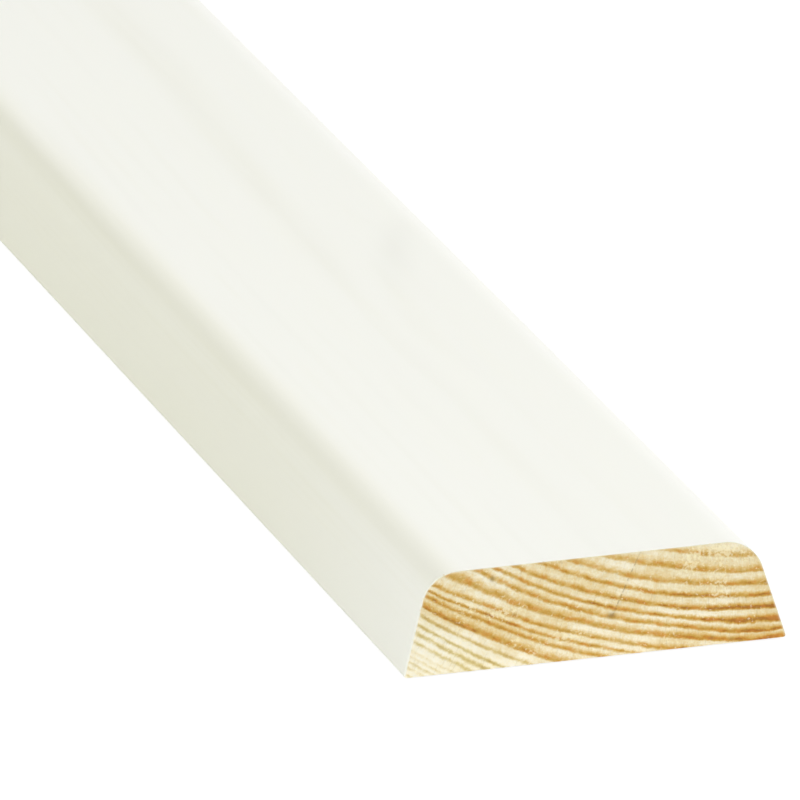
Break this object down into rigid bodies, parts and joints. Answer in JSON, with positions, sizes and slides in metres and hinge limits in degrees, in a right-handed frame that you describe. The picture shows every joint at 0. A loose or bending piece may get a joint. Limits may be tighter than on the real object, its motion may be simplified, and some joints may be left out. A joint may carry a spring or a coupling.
{
  "type": "pine moulding",
  "caption": "Straight length of white-painted pine cover moulding with a flat back, leaning sides, rounded front edges and square-cut bare ends.",
  "frame": {"origin": "centre of the flat back face, which the moulding lies on", "axes": "+Y along the length, +X across the width, +Z from the back face out through the front face"},
  "size_m": [0.045, 2.4, 0.012],
  "materials": {
    "painted_pine": "nearly matt off-white primer on the front and sides, bare sawn pine at the ends, bare planed pine on the back"
  },
  "bodies": {
    "root": {"moulding": "painted_pine"}
  },
  "joints": []
}
